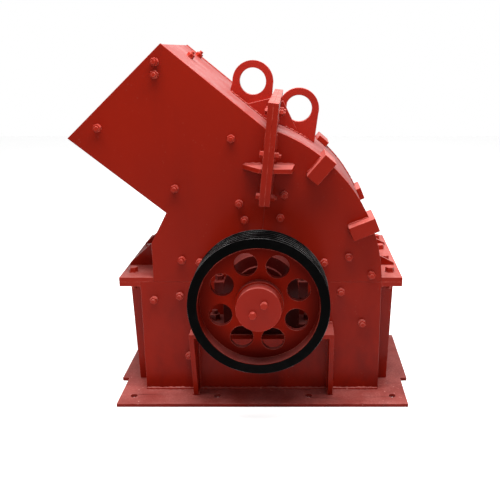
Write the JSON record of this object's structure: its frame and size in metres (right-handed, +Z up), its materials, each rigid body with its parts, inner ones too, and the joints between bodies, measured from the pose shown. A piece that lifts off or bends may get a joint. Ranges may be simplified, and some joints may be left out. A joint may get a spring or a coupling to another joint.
{
  "type": "hammer crusher",
  "caption": "Single-rotor hammer crusher with a slanted feed chute, split curved cover, belt pulley and flywheel on an open bolted base.",
  "frame": {"origin": "centre of the base's underside, in the middle of the four outer anchor bolts and right under the rotor axis", "axes": "+Z up, +X from the feed chute towards the curved cover, +Y along the rotor axis from the drive pulley to the flywheel"},
  "size_m": [1.08, 1.038, 1.126],
  "materials": {
    "casing_paint": "semi-gloss dark red enamel, brushed on over primer, dusty on its upper faces",
    "base_paint": "same enamel, scuffed and dusty",
    "bearing_paint": "same enamel over a cast surface",
    "pulley": "oiled black grooved rim, red painted web",
    "flywheel": "oiled black rim, red painted web",
    "machined_steel": "turned steel",
    "rotor_steel": "mill scale, dull",
    "wear_parts": "rough cast manganese steel"
  },
  "bodies": {
    "housing": {"base_strip_front": "base_paint", "base_strip_back": "base_paint", "base_end_strips": "base_paint", "lower_side_front": "casing_paint", "lower_side_back": "casing_paint", "lower_wall_feed": "casing_paint", "lower_wall_cover": "casing_paint", "lower_ribs": "casing_paint", "lower_flange_feed": "casing_paint", "lower_flange_cover": "casing_paint", "feed_side_front": "casing_paint", "feed_side_back": "casing_paint", "feed_wall": "casing_paint", "chute_floor": "casing_paint", "chute_top": "casing_paint", "upper_flange_feed": "casing_paint", "upper_flange_cover": "casing_paint", "upper_gussets": "casing_paint", "cover_side_front": "casing_paint", "cover_side_back": "casing_paint", "cover_plate": "casing_paint", "split_flange_feed": "casing_paint", "split_flange_cover": "casing_paint", "split_gussets_feed": "casing_paint", "split_gussets_cover": "casing_paint", "top_gussets": "casing_paint", "lifting_eye_feed": "casing_paint", "lifting_eye_cover": "casing_paint", "bar_ends_front": "casing_paint", "bar_ends_back": "casing_paint", "pedestal_front": "casing_paint", "pedestal_back": "casing_paint", "bearing_front": "bearing_paint", "bearing_back": "bearing_paint", "lower_liners": "wear_parts", "feed_liners": "wear_parts", "cover_liners": "wear_parts", "breaker_liner": "wear_parts", "grate": "wear_parts", "grate_arcs": "wear_parts"},
    "rotor": {"rotor_shaft": "machined_steel", "drive_pulley": "pulley", "pulley_end_disc": "machined_steel", "flywheel": "flywheel", "rotor_discs": "rotor_steel", "rotor_spacers": "rotor_steel", "hammer_pins": "rotor_steel", "hammers": "wear_parts"}
  },
  "joints": [
    {"name": "rotor_spin", "type": "hinge", "parent": "housing", "child": "rotor", "pos_m": [0, 0, 0.389], "axis": [0, 1, 0], "continuous": true}
  ]
}
